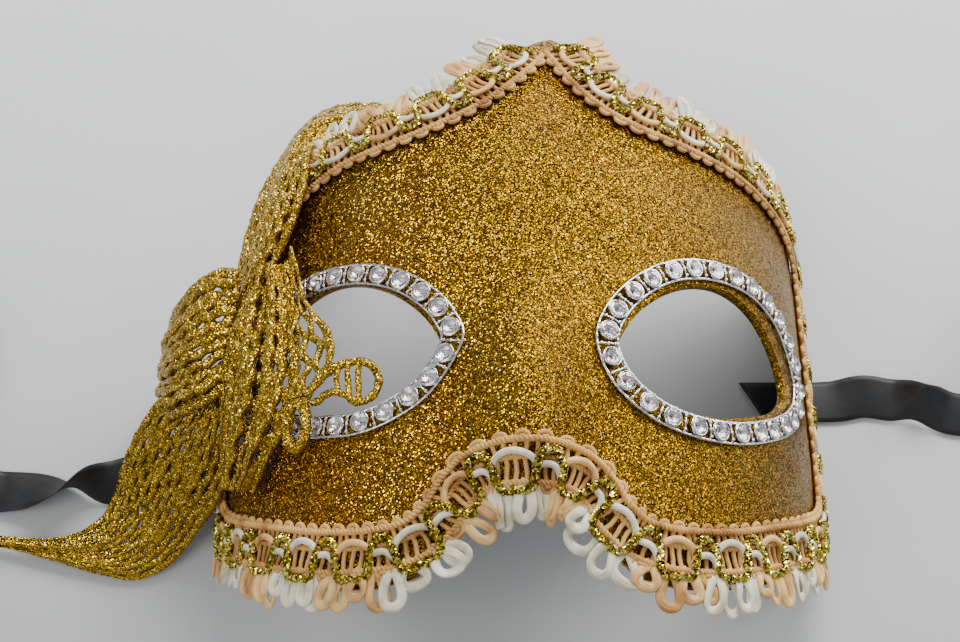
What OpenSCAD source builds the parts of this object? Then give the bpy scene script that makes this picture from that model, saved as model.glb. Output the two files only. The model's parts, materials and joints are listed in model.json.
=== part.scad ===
// Venetian half mask with a pointed brow, a braided fringe, stone banding, a lace bow and two ties.
// Lies face up: z = 0 is the table, +Z the way the face looks, +Y towards the peak.
// Places on the shell are given as [along, up, proud]: the distance round the arch from the middle,
// the y position, and the height above the moulded face.

/* [Shell] */
// Half the width across the side edges
half_width = 79.5; // [77:0.5:82]
// Height of the brow above the side edges
brow_height = 70; // [66:1:74]
// How far the bridge of the nose stands proud of the arch
nose_height = 9; // [7:0.5:11]
// Thickness of the moulded shell
shell_t = 1.8; // [1.4:0.1:2.2]
// Thickness of the glitter coat
glitter_t = 0.5; // [0.4:0.05:0.6]

/* [Stone banding] */
// Number of stones round one eye
stone_count = 26; // [22:1:28]
// Radius of a stone
stone_r = 2.2; // [1.8:0.1:2.5]
// Width of the banding
banding_w = 5.4; // [5:0.1:6]

/* [Braid] */
// Width of the woven heading
heading_w = 11.4; // [10:0.2:12]
// Number of waves of the metallic cord round the whole outline
wave_count = 42; // [38:2:44]
// Radius of the metallic cord
metal_r = 0.7; // [0.5:0.1:0.8]
// Radius of the satin yarn
yarn_r = 0.75; // [0.6:0.05:0.8]
// Radius of a fringe loop
loop_r = 2; // [1.8:0.1:2.2]

/* [Bow and ties] */
// Thickness of the lace
lace_t = 1.2; // [0.8:0.1:1.4]
// Width of a tie ribbon
tie_w = 10.6; // [8:0.2:11]
// Thickness of a tie ribbon
tie_t = 1.6; // [1:0.1:1.8]
// Height of the arched gap that each tie passes through
tie_gap = 3.4; // [3:0.1:4]
// Height of a rolled-up tie
coil_h = 11; // [10:0.5:12]

/* [Hidden] */
$fn = 32;

gap = 0.3;                 // clearance between neighbouring pieces
edge_angle = 86;           // arch angle at the side edges, degrees
arch_r = half_width / sin(edge_angle);
flat_per_degree = 77 * PI / 180;
side_edge = edge_angle * flat_per_degree;
brow_y = 18;               // the forehead falls away above this y
brow_fall = 0.0037;
cheek_y = -20;             // the cheeks fall away below this y
cheek_fall = 0.0025;
nose_y = -30;
nose_half_w = 12;
nose_half_l = 24;

// The shell's outline: y of the lower edge for the distance from the middle, both sides alike,
// and y of the upper edge, whose peak stands a little to the right and whose left end is cut lower
lower_edge = [[0, -51.5], [8, -51.5], [12.5, -53.5], [16, -58], [20, -65], [25, -69], [35, -70.5],
    [46, -69.5], [60, -66], [75, -61], [90, -55.5], [104, -49.5], [side_edge, -43]];
upper_edge = [[-side_edge, -2], [-112, 5], [-106, 14], [-97, 24], [-87, 34], [-76, 42], [-64, 48.5],
    [-50, 53], [-35, 55], [-24, 58], [-14, 64], [-6.5, 71.5], [0, 79.5], [5.5, 84], [8.5, 85],
    [12.5, 82], [16.5, 76], [20.5, 69.5], [25, 63.5], [33, 59], [45, 56.5], [60, 54.5], [77, 51.5],
    [93, 47.5], [108, 42], [side_edge, 34]];
// One eye hole and the middle line of its banding, right eye
eye_hole = [[21, -16.5], [24, -8.5], [30, -1.5], [38, 4], [47, 7], [56, 7], [65, 4], [72.5, -2],
    [77, -9], [77, -15], [70, -21], [58, -26], [46, -29], [35, -28.5], [26, -24.5]];
eye_ring = [[18.5, -15], [20.5, -7], [26.5, 0.6], [35, 6.4], [45, 9.9], [56, 10.9], [66, 10],
    [75.5, 6.2], [82, 0.5], [85.8, -7], [84, -15], [76, -22], [64, -27.8], [52, -31.5], [40, -32.3],
    [30, -29.8], [22, -23.5]];
left_eye_shift = 2;        // the left hole and banding sit this much nearer to the middle
// Middle line of the woven heading, from the peak down the right side and round to the peak
heading_line = [[9.5, 79.5], [15.5, 67], [22, 58.8], [31, 53.5], [44, 50.8], [60, 48.8], [77, 45.8],
    [93, 42], [103, 36], [108, 25], [108.5, 8], [108.5, -10], [107.5, -26], [102, -39], [92, -46],
    [78, -51.5], [62, -56.5], [48, -60], [35, -61.3], [25.5, -60], [19.5, -55.5], [16, -50.5],
    [12, -46.8], [6, -45.2], [0, -45], [-6, -45.2], [-12, -46.8], [-16, -50.5], [-19.5, -55.5],
    [-25.5, -60], [-35, -61.3], [-48, -60], [-62, -56.5], [-78, -51.5], [-92, -46], [-102, -39],
    [-107.5, -27], [-108.3, -14], [-106, -2], [-99, 9], [-90, 19], [-80, 29], [-70, 37],
    [-60, 42.5], [-48, 46.5], [-35, 48.8], [-24, 51.8], [-13, 57.5], [-5, 65.5], [0.5, 73]];

// The lace pieces: the two edges of each, point by point
upper_loop_low = [[-78, 4, 25], [-76.7, 12, 28], [-76, 20, 29.5], [-75, 30, 31], [-73.3, 40, 31.5],
    [-71, 49, 30.5], [-67.7, 59, 28], [-63.5, 69, 25], [-59, 77, 23.5], [-52.5, 80.5, 25.5],
    [-45, 78, 31.5], [-39, 74.5, 36.5]];
upper_loop_high = [[-74.5, 5, 37.5], [-72, 10.5, 41], [-68.7, 15.5, 44.5], [-65, 19.7, 48],
    [-62, 24, 51.3], [-60, 29, 53.4], [-58.6, 34, 54.6], [-57.5, 39, 54.8], [-57.3, 44, 53.2],
    [-57.5, 49, 50.8], [-56.7, 54.5, 47], [-53, 58.5, 44.3], [-47.5, 61, 43.5], [-41, 62, 45]];
back_loop_back = [[-76, 17, 42], [-80, 18, 41], [-85, 16, 38.5], [-90, 14, 34], [-94, 12.5, 28],
    [-96.5, 11.5, 20], [-94, 10, 11], [-89, 8, 8]];
back_loop_front = [[-78, -9, 41], [-81, -12, 40.5], [-86, -14, 38], [-91, -13.5, 33.5],
    [-95, -9, 26], [-96.5, -4, 18], [-94, -2, 11], [-89, -2, 8]];
tail_outer = [[-84, -15, 31], [-89, -17, 29], [-95, -18, 25], [-102, -21, 18], [-106, -25.5, 12],
    [-108.5, -31, 7.5], [-112.5, -37, 4.8], [-119, -40.5, 3.4], [-128, -42, 3], [-139, -41.2, 3]];
tail_inner = [[-79, -24, 32.5], [-79.5, -30, 27], [-81.5, -34, 20], [-84.5, -36.5, 13.5],
    [-87, -39.5, 8.5], [-90, -44, 5], [-95, -49, 3], [-103, -51.5, 1.8], [-113, -50, 1.5],
    [-126, -46.5, 1.4], [-139, -43, 1.3]];
front_fold_outer = [[-68.5, 13, 46.5], [-72, 7, 45.5], [-74.3, -2, 44], [-75, -15, 40],
    [-75.2, -26, 35.5], [-75.5, -36, 29.5]];
front_fold_inner = [[-63, 14, 50.5], [-60, 4, 53.5], [-58, -8, 54.5], [-58, -19, 54.5],
    [-60, -28, 52.5], [-64, -34, 48], [-68, -41, 41]];
small_loop_outer = [[-58.5, 20, 54], [-55.5, 6, 59], [-50, -4, 62], [-47, -11, 63.3],
    [-47, -16.5, 63.3], [-49, -21.5, 62.5], [-53.5, -24, 60.5]];
small_loop_inner = [[-59.5, 16, 54], [-57.5, 4, 58], [-54, -3.5, 60.5], [-51.8, -10, 61.8],
    [-51.3, -15.5, 61.8], [-52.6, -19, 61.3], [-55.5, -21, 59.8]];
scallop_outer = [[-46, -19, 59.8], [-42, -16.2, 60.5], [-37.5, -16.5, 61], [-35, -20.5, 61],
    [-37, -25, 60], [-42, -27, 59], [-47.5, -25.5, 57.5]];
scallop_inner = [[-45.5, -21, 59.3], [-42, -19.2, 60], [-39.3, -19.2, 60.5], [-38, -20.8, 60.5],
    [-39, -22.8, 60], [-42, -23.8, 59], [-46, -23.2, 58]];
hanging_outer = [[-57, -25, 56.5], [-58.8, -30, 54.8], [-57, -35, 53.8], [-53.5, -36.5, 54.8],
    [-50.8, -31.5, 57], [-51.5, -28.5, 58]];
hanging_inner = [[-56, -26.5, 56.8], [-57, -30.3, 55.5], [-55.8, -33.5, 54.8], [-54, -34.3, 55.2],
    [-52.6, -31.5, 56.8], [-53, -29, 57.6]];

// Tie routes on the table, from the pivot to the coil: [x, y]
left_route = [[-89, -22], [-97, -22.2], [-105, -24], [-113, -26.5], [-123, -28], [-133, -28],
    [-143, -27.8], [-153, -27.5], [-163, -27.5], [-173, -27.5], [-182, -27.5]];
right_route = [[89, -1], [97, -0.2], [105, -1], [112, -3], [121, -5], [130, -6], [139, -7.5],
    [149, -9], [158, -9.5], [168, -9.5]];
coil_r = 30;
coil_hole_r = 13;
left_coil = [-182, 4];
right_coil = [168, 22];

// ---- curves ----
function unit(v) = v / norm(v);
function wrap(pts, i, closed) = closed ? pts[(i + len(pts)) % len(pts)]
    : pts[max(0, min(len(pts) - 1, i))];
// Smooth curve through pts; t counts control points
function curve(pts, t, closed = false) = let(
        i = floor(t), f = t - i,
        a = wrap(pts, i - 1, closed), b = wrap(pts, i, closed),
        c = wrap(pts, i + 1, closed), d = wrap(pts, i + 2, closed))
    b + 0.5 * f * (c - a) + f * f * (a - 2.5 * b + 2 * c - 0.5 * d)
    + f * f * f * (1.5 * b - 1.5 * c + 0.5 * (d - a));
function sample(pts, n, closed = false) = let(span = closed ? len(pts) : len(pts) - 1)
    [for (i = [0 : closed ? n - 1 : n]) curve(pts, i * span / n, closed)];
// Distance reached at each point of a polyline
function reach(p) = [for (i = 0, d = 0; i < len(p);
        d = d + (i + 1 < len(p) ? norm(p[i + 1] - p[i]) : 0), i = i + 1) d];
function along(p) = let(d = reach(p)) [for (i = [0 : len(p) - 1]) [d[i], p[i][0]]];
function across(p) = let(d = reach(p)) [for (i = [0 : len(p) - 1]) [d[i], p[i][1]]];

// ---- the moulded face ----
function arch_height(y) = brow_height - brow_fall * pow(max(y - brow_y, 0), 2)
    - cheek_fall * pow(max(cheek_y - y, 0), 2);
function nose(x, y) = nose_height * exp(-pow(x / nose_half_w, 2) - pow((y - nose_y) / nose_half_l, 2));
function face(s, y) = let(a = s / flat_per_degree, x = arch_r * sin(a))
    [x, y, arch_height(y) * (cos(a) - cos(edge_angle)) / (1 - cos(edge_angle)) + nose(x, y)];
function face_normal(s, y) = let(e = 0.2)
    unit(cross(face(s + e, y) - face(s - e, y), face(s, y + e) - face(s, y - e)));
function on_face(s, y, n) = face(s, y) + n * face_normal(s, y);
function above_table(p, low = 0) = [p[0], p[1], max(p[2], low)];
function low_y(s) = lookup(abs(s), lower_edge);
function high_y(s) = lookup(s, upper_edge);
function left_eye(pts) = [for (i = [len(pts) - 1 : -1 : 0])
    [left_eye_shift - pts[i][0], pts[i][1]]];

// The heading's middle line by distance
heading_pts = sample(heading_line, 400);
heading_len = reach(heading_pts)[len(heading_pts) - 1];
heading_s = along(heading_pts);
heading_y = across(heading_pts);
function heading_at(d) = [lookup(d, heading_s), lookup(d, heading_y)];
function heading_dir(d) = unit(heading_at(d + 1) - heading_at(d - 1));
// Point beside the heading's middle line: outward is towards the mask's edge
function beside(d, outward) = let(t = heading_dir(min(max(d, 1), heading_len - 1)))
    heading_at(d) + outward * [t[1], -t[0]] * -1;
function heading_point(d, outward, n) = let(p = beside(d, outward)) on_face(p[0], p[1], n);

// ---- solids from grids of points ----
// A closed block between two grids of the same size; ring joins the last row to the first
module slab(top, bottom, ring = false) {
    ni = len(top);
    nj = len(top[0]);
    low = ni * nj;
    last = ring ? ni - 1 : ni - 2;
    faces = [
        for (i = [0 : last], j = [0 : nj - 2]) let(
                a = i * nj + j, b = ((i + 1) % ni) * nj + j)
            each [[a, a + 1, b + 1], [a, b + 1, b],
                [low + a, low + b + 1, low + a + 1], [low + a, low + b, low + b + 1]],
        for (i = [0 : last]) let(a = i * nj, b = ((i + 1) % ni) * nj, e = nj - 1)
            each [[a, b, low + b], [a, low + b, low + a],
                [a + e, low + b + e, b + e], [a + e, low + a + e, low + b + e]],
        if (!ring) for (j = [0 : nj - 2]) let(b = (ni - 1) * nj + j)
            each [[j, low + j + 1, j + 1], [j, low + j, low + j + 1],
                [b, b + 1, low + b + 1], [b, low + b + 1, low + b]]];
    polyhedron([for (row = top) each row, for (row = bottom) each row], faces);
}

// A tube through rings of points, open at both ends or closed into a ring
module tube(rings) {
    n = len(rings[0]);
    m = len(rings);
    polyhedron([for (r = rings) each r], [
        [for (k = [0 : n - 1]) k],
        [for (k = [n - 1 : -1 : 0]) (m - 1) * n + k],
        for (i = [0 : m - 2], k = [0 : n - 1]) let(q = (k + 1) % n)
            each [[i * n + k, (i + 1) * n + k, (i + 1) * n + q],
                [i * n + k, (i + 1) * n + q, i * n + q]]]);
}

// Places children on the face with +X along dir and +Z outward
module placed(s, y, n, dir) {
    z = face_normal(s, y);
    step = on_face(s + dir[0], y + dir[1], n) - on_face(s - dir[0], y - dir[1], n);
    v = unit(cross(z, step));
    u = cross(v, z);
    p = on_face(s, y, n);
    multmatrix([[u[0], v[0], z[0], p[0]], [u[1], v[1], z[1], p[1]], [u[2], v[2], z[2], p[2]]])
        children();
}

// ---- shell and cover ----
shell_cols = 48;
shell_rows = 20;
function col_at(i, reach_s) = let(u = 2 * i / shell_cols - 1) sign(u) * pow(abs(u), 1.25) * reach_s;
function face_grid(n, reach_s, inset, low) = [for (i = [0 : shell_cols]) let(
        s = col_at(i, reach_s), a = low_y(s) + inset, b = high_y(s) - inset)
    [for (j = [0 : shell_rows]) above_table(on_face(s, a + (b - a) * j / shell_rows, n), low)]];

module eye_cutter(outline) {
    hole_steps = 60;
    rim = sample(outline, hole_steps, true);
    depth = 7;
    mid = [for (k = [0, 1]) let(c = [for (p = rim) p[k]]) (max(c) + min(c)) / 2];
    steps = [0 : hole_steps - 1];
    polyhedron([for (n = [-depth, depth]) each [for (p = rim) on_face(p[0], p[1], n)],
            on_face(mid[0], mid[1], -depth), on_face(mid[0], mid[1], depth)],
        [for (k = steps) let(q = (k + 1) % hole_steps, c = 2 * hole_steps) each [
            [k, q, hole_steps + q], [k, hole_steps + q, hole_steps + k],
            [k, c, q], [hole_steps + q, c + 1, hole_steps + k]]]);
}

// The gap under each side edge that a tie runs through
module tie_gaps() {
    gap_w = 15;
    reach_x = 20;
    for (p = [[-half_width, left_route[0][1]], [half_width, right_route[0][1]]])
        translate([p[0] - reach_x / 2, p[1] - gap_w / 2, -1]) cube([reach_x, gap_w, tie_gap + 1]);
}

module mask_shell() {
    color("dimgray") difference() {
        slab(face_grid(0, side_edge, 0, 0), face_grid(-shell_t, side_edge, 0, 0));
        eye_cutter(eye_hole);
        eye_cutter(left_eye(eye_hole));
        tie_gaps();
    }
}

module glitter_cover() {
    inset = 0.2;
    bottom_n = 0.05;
    color("goldenrod") difference() {
        slab(face_grid(bottom_n + glitter_t, side_edge - inset, inset, 0.2),
            face_grid(bottom_n, side_edge - inset, inset, 0.2));
        eye_cutter(eye_hole);
        eye_cutter(left_eye(eye_hole));
        tie_gaps();
    }
}

// ---- stone banding ----
band_low = glitter_t + gap;
band_t = 0.8;
ring_steps = 72;

function ring_row(line, d, total, n) = let(
        k = d * len(line) / total,
        p = curve(line, k, true),
        t = unit(curve(line, k + 0.05, true) - curve(line, k - 0.05 + len(line), true)),
        side = [t[1], -t[0]] * banding_w / 2)
    [for (m = [-1, 1]) on_face(p[0] + m * side[0], p[1] + m * side[1], n)];

module banding(line) {
    color("silver") slab(
        [for (i = [0 : ring_steps - 1]) ring_row(line, i, ring_steps, band_low)],
        [for (i = [0 : ring_steps - 1]) ring_row(line, i, ring_steps, band_low + band_t)],
        ring = true);
}

module gems(line) {
    pts = sample(line, 360, true);
    loop_pts = concat(pts, [pts[0]]);
    total = reach(loop_pts)[len(pts)];
    table_r = stone_r * 0.6;
    girdle_h = 0.4;
    crown_h = 1.3;
    color("whitesmoke") for (i = [0 : stone_count - 1]) {
        d = (i + 0.5) * total / stone_count;
        placed(lookup(d, along(loop_pts)), lookup(d, across(loop_pts)), band_low + band_t + 0.1, [1, 0])
            rotate_extrude() polygon([[0, 0], [stone_r, 0], [stone_r, girdle_h],
                [table_r, crown_h], [0, crown_h]]);
    }
}

// ---- braid and fringe ----
heading_low = glitter_t + gap;
heading_t = 1.1;
heading_steps = 150;
metal_n = heading_low + heading_t + metal_r + 0.15;
wave = heading_len / wave_count;
wave_h = 3.6;

module braid_header() {
    half = heading_w / 2;
    function row(i, n) = [for (m = [-1, 1])
        above_table(heading_point(i * heading_len / heading_steps, m * half, n), 0.3)];
    color("peachpuff") slab([for (i = [0 : heading_steps]) row(i, heading_low + heading_t)],
        [for (i = [0 : heading_steps]) row(i, heading_low)]);
}

module braid_metal_cord() {
    cord_steps = 336;
    sides = 5;
    function wave_point(d) = heading_point(d, wave_h * cos(360 * d / wave), metal_n);
    function cord_ring(d) = let(
            p = wave_point(d), t = unit(wave_point(d + 0.2) - wave_point(d - 0.2)),
            h = heading_at(d), z = face_normal(h[0], h[1]), v = unit(cross(z, t)), u = cross(t, v))
        [for (k = [0 : sides - 1]) p + metal_r * (cos(360 * k / sides) * v + sin(360 * k / sides) * u)];
    color("darkkhaki") tube([for (i = [0 : cord_steps])
        cord_ring(2 + i * (heading_len - 4) / cord_steps)]);
}

// Small arcs of satin yarn that lie in the hollows of the cord's wave, phase 0 or 0.5
module yarn_arcs(phase) {
    arc_r = 2.1;
    sink = 1.0;
    turn = phase == 0 ? 180 : 0;
    lean = phase == 0 ? 1 : -1;
    for (i = [1 : wave_count - 2]) {
        d = (i + phase) * wave;
        p = beside(d, lean * (wave_h - arc_r - metal_r - yarn_r - sink + 0.6));
        placed(p[0], p[1], metal_n, heading_dir(d))
            rotate([0, 0, turn]) rotate_extrude(angle = 180) translate([arc_r, 0]) circle(yarn_r);
    }
}
module braid_peach_yarn() { color("sandybrown") yarn_arcs(0.5); }
module braid_ivory_yarn() { color("ivory") yarn_arcs(0); }

// Yarn loops beyond the heading: a pair to each wave, or one where the outline bends inward
module fringe(first) {
    pitch = 2 * (loop_r + yarn_r + gap);
    out = heading_w / 2 + loop_r + yarn_r + gap;
    for (i = [first : 2 : wave_count - 1]) {
        middle = (i + 0.5) * wave;
        h = heading_at(middle);
        beside_edge = abs(h[0]) > 96;
        under_bow = h[0] < -52 && h[1] > 0;
        crowding = norm(beside(middle + 1, out) - beside(middle - 1, out)) / 2;
        spread = crowding < 0.8 ? 0 : 1;
        if (!beside_edge && !under_bow) for (k = [-spread / 2 : spread / 2]) {
            d = middle + k * pitch / max(crowding, 0.8);
            p = beside(d, out);
            placed(p[0], p[1], glitter_t + gap + yarn_r, heading_dir(d))
                rotate_extrude() translate([loop_r, 0]) circle(yarn_r);
        }
    }
}
module fringe_peach_loops() { color("sandybrown") fringe(0); }
module fringe_ivory_loops() { color("ivory") fringe(1); }

// ---- lace bow ----
// A band of lace between two edge curves; bulge is how far its middle line swells out
module lace_band(edge_a, edge_b, bulge = 0) {
    steps = 24;
    lanes = 4;
    a = sample(edge_a, steps);
    b = sample(edge_b, steps);
    function way(i) = a[min(i + 1, steps)] + b[min(i + 1, steps)] - a[max(i - 1, 0)] - b[max(i - 1, 0)];
    function lift(i) = unit(cross(way(i), b[i] - a[i]));
    function spot(i, t, n) = a[i] + (b[i] - a[i]) * t + (4 * bulge * t * (1 - t) + n) * lift(i);
    function sheet(n, low) = [for (i = [0 : steps])
        [for (j = [0 : lanes]) above_table(spot(i, j / lanes, n), low)]];
    color("darkgoldenrod") slab(sheet(lace_t / 2, 0.2 + lace_t), sheet(-lace_t / 2, 0.2));
}
module bow_upper_loop() { lace_band(upper_loop_low, upper_loop_high, -3); }
module bow_back_loop() { lace_band(back_loop_back, back_loop_front, 1.5); }
module bow_tail() { lace_band(tail_inner, tail_outer, -1); }
module bow_front_fold() { lace_band(front_fold_inner, front_fold_outer, -2); }
module bow_small_loop() { lace_band(small_loop_outer, small_loop_inner); }
module bow_eye_scallop() { lace_band(scallop_outer, scallop_inner); }
module bow_hanging_loop() { lace_band(hanging_outer, hanging_inner); }

bow_s = -96;
bow_y = -10;
pad_h = 3;
pad_r = 5.2;
wrap_r = 4.2;
wrap_l = 11;
module bow_center_wrap() {
    waist = wrap_r * 0.8;
    color("goldenrod") placed(bow_s, bow_y, glitter_t + gap + pad_h + gap + wrap_r, [0, 1])
        rotate([0, 90, 0]) rotate_extrude() polygon([[0, -wrap_l / 2], [wrap_r, -wrap_l / 2],
            [waist, 0], [wrap_r, wrap_l / 2], [0, wrap_l / 2]]);
}
module bow_glue_pad() {
    color("linen") placed(bow_s, bow_y, glitter_t + gap, [0, 1]) cylinder(r = pad_r, h = pad_h);
}

// ---- ties ----
tab_x = 65;                // inner end of each glued ribbon end
tab_t = 0.9;
module tie_tab(route) {
    side = sign(route[0][0]);
    tab_l = abs(route[0][0]) - tie_w / 2 - gap - tab_x;
    color("black") translate([side > 0 ? tab_x : -tab_x - tab_l, route[0][1] - tie_w / 2, gap])
        cube([tab_l, tie_w, tab_t]);
}
module tie_glue(route) {
    glue_l = 3;
    glue_w = 9;
    inside = 2.2;
    side = sign(route[0][0]);
    low = gap + tab_t + 0.05;
    color("linen") translate([side * (half_width - inside) - glue_l / 2, route[0][1] - glue_w / 2, low])
        cube([glue_l, glue_w, tie_gap - low - 0.05]);
}
// A flat ribbon with a round end on its pivot; it leaves lying down and turns up on its edge
// before it reaches the coil
module tie_ribbon(route) {
    steps = 30;
    sides = 8;
    flat_steps = 7;
    turn_steps = 12;
    pts = sample(route, steps);
    function way(i) = unit(pts[min(i + 1, steps)] - pts[max(i - 1, 0)]);
    function ring(p, t, lean, half_w) = let(
            side = [-t[1] * cos(lean), t[0] * cos(lean), sin(lean)],
            face_dir = [t[1] * sin(lean), -t[0] * sin(lean), cos(lean)],
            mid = [p[0], p[1], gap + tie_t / 2 + tie_w / 2 * sin(lean)])
        [for (k = [0 : sides - 1]) mid + cos(360 * k / sides) * half_w * side
            + sin(360 * k / sides) * tie_t / 2 * face_dir];
    color("black") tube([
        for (a = [80, 55, 30]) ring(pts[0] - tie_w / 2 * sin(a) * way(0), way(0), 0, tie_w / 2 * cos(a)),
        for (i = [0 : steps])
            ring(pts[i], way(i), 90 * min(max(i - flat_steps, 0) / turn_steps, 1), tie_w / 2)]);
}
module tie_coil(centre) {
    color("black") translate([centre[0], centre[1], gap]) difference() {
        cylinder(r = coil_r, h = coil_h);
        translate([0, 0, -1]) cylinder(r = coil_hole_r, h = coil_h + 2);
    }
}

mask_shell();
glitter_cover();
banding(left_eye(eye_ring));  // left_eye_banding
banding(eye_ring);  // right_eye_banding
gems(left_eye(eye_ring));  // left_eye_gems
gems(eye_ring);  // right_eye_gems
braid_header();
braid_metal_cord();
braid_peach_yarn();
braid_ivory_yarn();
fringe_peach_loops();
fringe_ivory_loops();
bow_upper_loop();
bow_back_loop();
bow_tail();
bow_front_fold();
bow_small_loop();
bow_eye_scallop();
bow_hanging_loop();
bow_center_wrap();
bow_glue_pad();
tie_glue(left_route);  // left_tie_glue
tie_glue(right_route);  // right_tie_glue
tie_tab(left_route);  // left_tie_tab
tie_tab(right_route);  // right_tie_tab
tie_ribbon(left_route);  // left_tie_ribbon
tie_ribbon(right_route);  // right_tie_ribbon
tie_coil(left_coil);  // left_tie_coil
tie_coil(right_coil);  // right_tie_coil
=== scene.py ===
"""Looks of a Venetian half mask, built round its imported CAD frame. Lengths are in mm unless said."""

import json
import math

import bpy
import numpy as np
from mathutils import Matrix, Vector
from mathutils.geometry import delaunay_2d_cdt

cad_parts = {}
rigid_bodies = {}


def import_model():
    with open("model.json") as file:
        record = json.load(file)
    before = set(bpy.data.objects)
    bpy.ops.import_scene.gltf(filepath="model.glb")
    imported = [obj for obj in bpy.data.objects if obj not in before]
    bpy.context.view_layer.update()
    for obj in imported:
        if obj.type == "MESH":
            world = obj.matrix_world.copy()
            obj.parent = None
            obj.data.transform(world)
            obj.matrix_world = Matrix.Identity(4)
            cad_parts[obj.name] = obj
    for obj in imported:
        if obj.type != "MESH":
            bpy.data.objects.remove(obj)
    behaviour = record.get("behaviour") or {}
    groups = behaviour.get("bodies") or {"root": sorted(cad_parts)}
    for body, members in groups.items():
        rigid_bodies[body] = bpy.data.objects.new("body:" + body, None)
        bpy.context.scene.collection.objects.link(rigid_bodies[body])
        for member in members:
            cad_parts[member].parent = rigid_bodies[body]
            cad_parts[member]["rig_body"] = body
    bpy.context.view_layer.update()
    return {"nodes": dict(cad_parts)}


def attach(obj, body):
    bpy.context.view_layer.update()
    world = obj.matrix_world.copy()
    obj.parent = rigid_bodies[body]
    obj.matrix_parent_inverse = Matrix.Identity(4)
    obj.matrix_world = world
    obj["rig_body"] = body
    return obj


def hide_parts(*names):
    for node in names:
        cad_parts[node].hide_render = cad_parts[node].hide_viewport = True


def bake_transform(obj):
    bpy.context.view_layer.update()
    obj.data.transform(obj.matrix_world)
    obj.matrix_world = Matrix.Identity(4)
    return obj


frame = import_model()
dice = np.random.default_rng(11)
MM = 0.001
TURN = 2 * math.pi


# ---------------------------------------------------------------- camera
CAMERA_PLACE = (-0.01077, -0.16004, 0.37922)    # metres
CAMERA_TILT = 26                                # degrees from looking straight down
LENS = 54.375


def make_camera():
    data = bpy.data.cameras.new("camera")
    data.lens = LENS
    data.sensor_width = 36
    camera = bpy.data.objects.new("camera", data)
    bpy.context.scene.collection.objects.link(camera)
    camera.location = CAMERA_PLACE
    camera.rotation_euler = (math.radians(CAMERA_TILT), 0, 0)
    bpy.context.scene.camera = camera


# ---------------------------------------------------------------- curves
def unit(v):
    return v / np.maximum(np.linalg.norm(v, axis=-1, keepdims=True), 1e-12)


def smooth(points, count, closed=False):
    """Points along a soft curve through the given ones."""
    p = np.asarray(points, float)
    spans = len(p) if closed else len(p) - 1
    t = np.arange(count) * spans / count if closed else np.linspace(0, spans, count + 1)
    first = np.minimum(np.floor(t).astype(int), spans - 1)
    f = (t - first)[:, None]

    def pick(step):
        return p[(first + step) % len(p)] if closed else p[np.clip(first + step, 0, len(p) - 1)]

    a, b, c, d = pick(-1), pick(0), pick(1), pick(2)
    return (b + 0.5 * f * (c - a) + f * f * (a - 2.5 * b + 2 * c - 0.5 * d)
            + f**3 * (1.5 * b - 1.5 * c + 0.5 * (d - a)))


def reach(p):
    """Distance along a line of points."""
    return np.concatenate([[0], np.cumsum(np.linalg.norm(np.diff(p, axis=0), axis=1))])


def even(p, step, closed=False):
    """The same line with points an even distance apart."""
    p = np.asarray(p, float)
    if closed:
        p = np.vstack([p, p[:1]])
    d = reach(p)
    t = np.linspace(0, d[-1], max(2, round(d[-1] / step)) + 1)
    out = np.stack([np.interp(t, d, p[:, k]) for k in range(p.shape[1])], 1)
    return out[:-1] if closed else out


def ahead(p, closed=False):
    """Unit direction at each point of a line."""
    if closed:
        return unit(np.roll(p, -1, 0) - np.roll(p, 1, 0))
    return unit(np.gradient(p, axis=0))


# ---------------------------------------------------------------- the moulded face
HALF_WIDTH = 79.5
EDGE_ANGLE = math.radians(86)
ARCH_R = HALF_WIDTH / math.sin(EDGE_ANGLE)
FLAT_R = 77
SIDE_EDGE = EDGE_ANGLE * FLAT_R
BROW_HEIGHT = 70
BROW_Y, BROW_FALL = 18, 0.0037        # the forehead falls away above this y
CHEEK_Y, CHEEK_FALL = -20, 0.0025     # the cheeks fall away below this y
NOSE_HEIGHT, NOSE_Y = 9, -30
NOSE_HALF_W, NOSE_HALF_L = 12, 24
SHELL_T = 1.8
COVER_TOP = 0.55                      # height of the glitter coat over the shell


def face_point(s, y):
    """Point of the moulded face s round the arch from the middle and y up it."""
    angle = s / FLAT_R
    x = ARCH_R * np.sin(angle)
    height = (BROW_HEIGHT - BROW_FALL * np.maximum(y - BROW_Y, 0) ** 2
              - CHEEK_FALL * np.maximum(CHEEK_Y - y, 0) ** 2)
    z = height * (np.cos(angle) - math.cos(EDGE_ANGLE)) / (1 - math.cos(EDGE_ANGLE))
    z = z + NOSE_HEIGHT * np.exp(-((x / NOSE_HALF_W) ** 2) - ((y - NOSE_Y) / NOSE_HALF_L) ** 2)
    return np.stack([x, y + 0 * s, z], -1)


def face_normal(s, y):
    e = 0.2
    return unit(np.cross(face_point(s + e, y) - face_point(s - e, y),
                         face_point(s, y + e) - face_point(s, y - e)))


def face(s, y, n=0.0):
    """Point of the face s round the arch, y up it and n proud of it."""
    s, y, n = np.broadcast_arrays(np.asarray(s, float), np.asarray(y, float), np.asarray(n, float))
    return face_point(s, y) + n[..., None] * face_normal(s, y)


def above(p, low):
    """Keeps points from sinking under a height."""
    p = np.array(p)
    p[..., 2] = np.maximum(p[..., 2], low)
    return p


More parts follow.
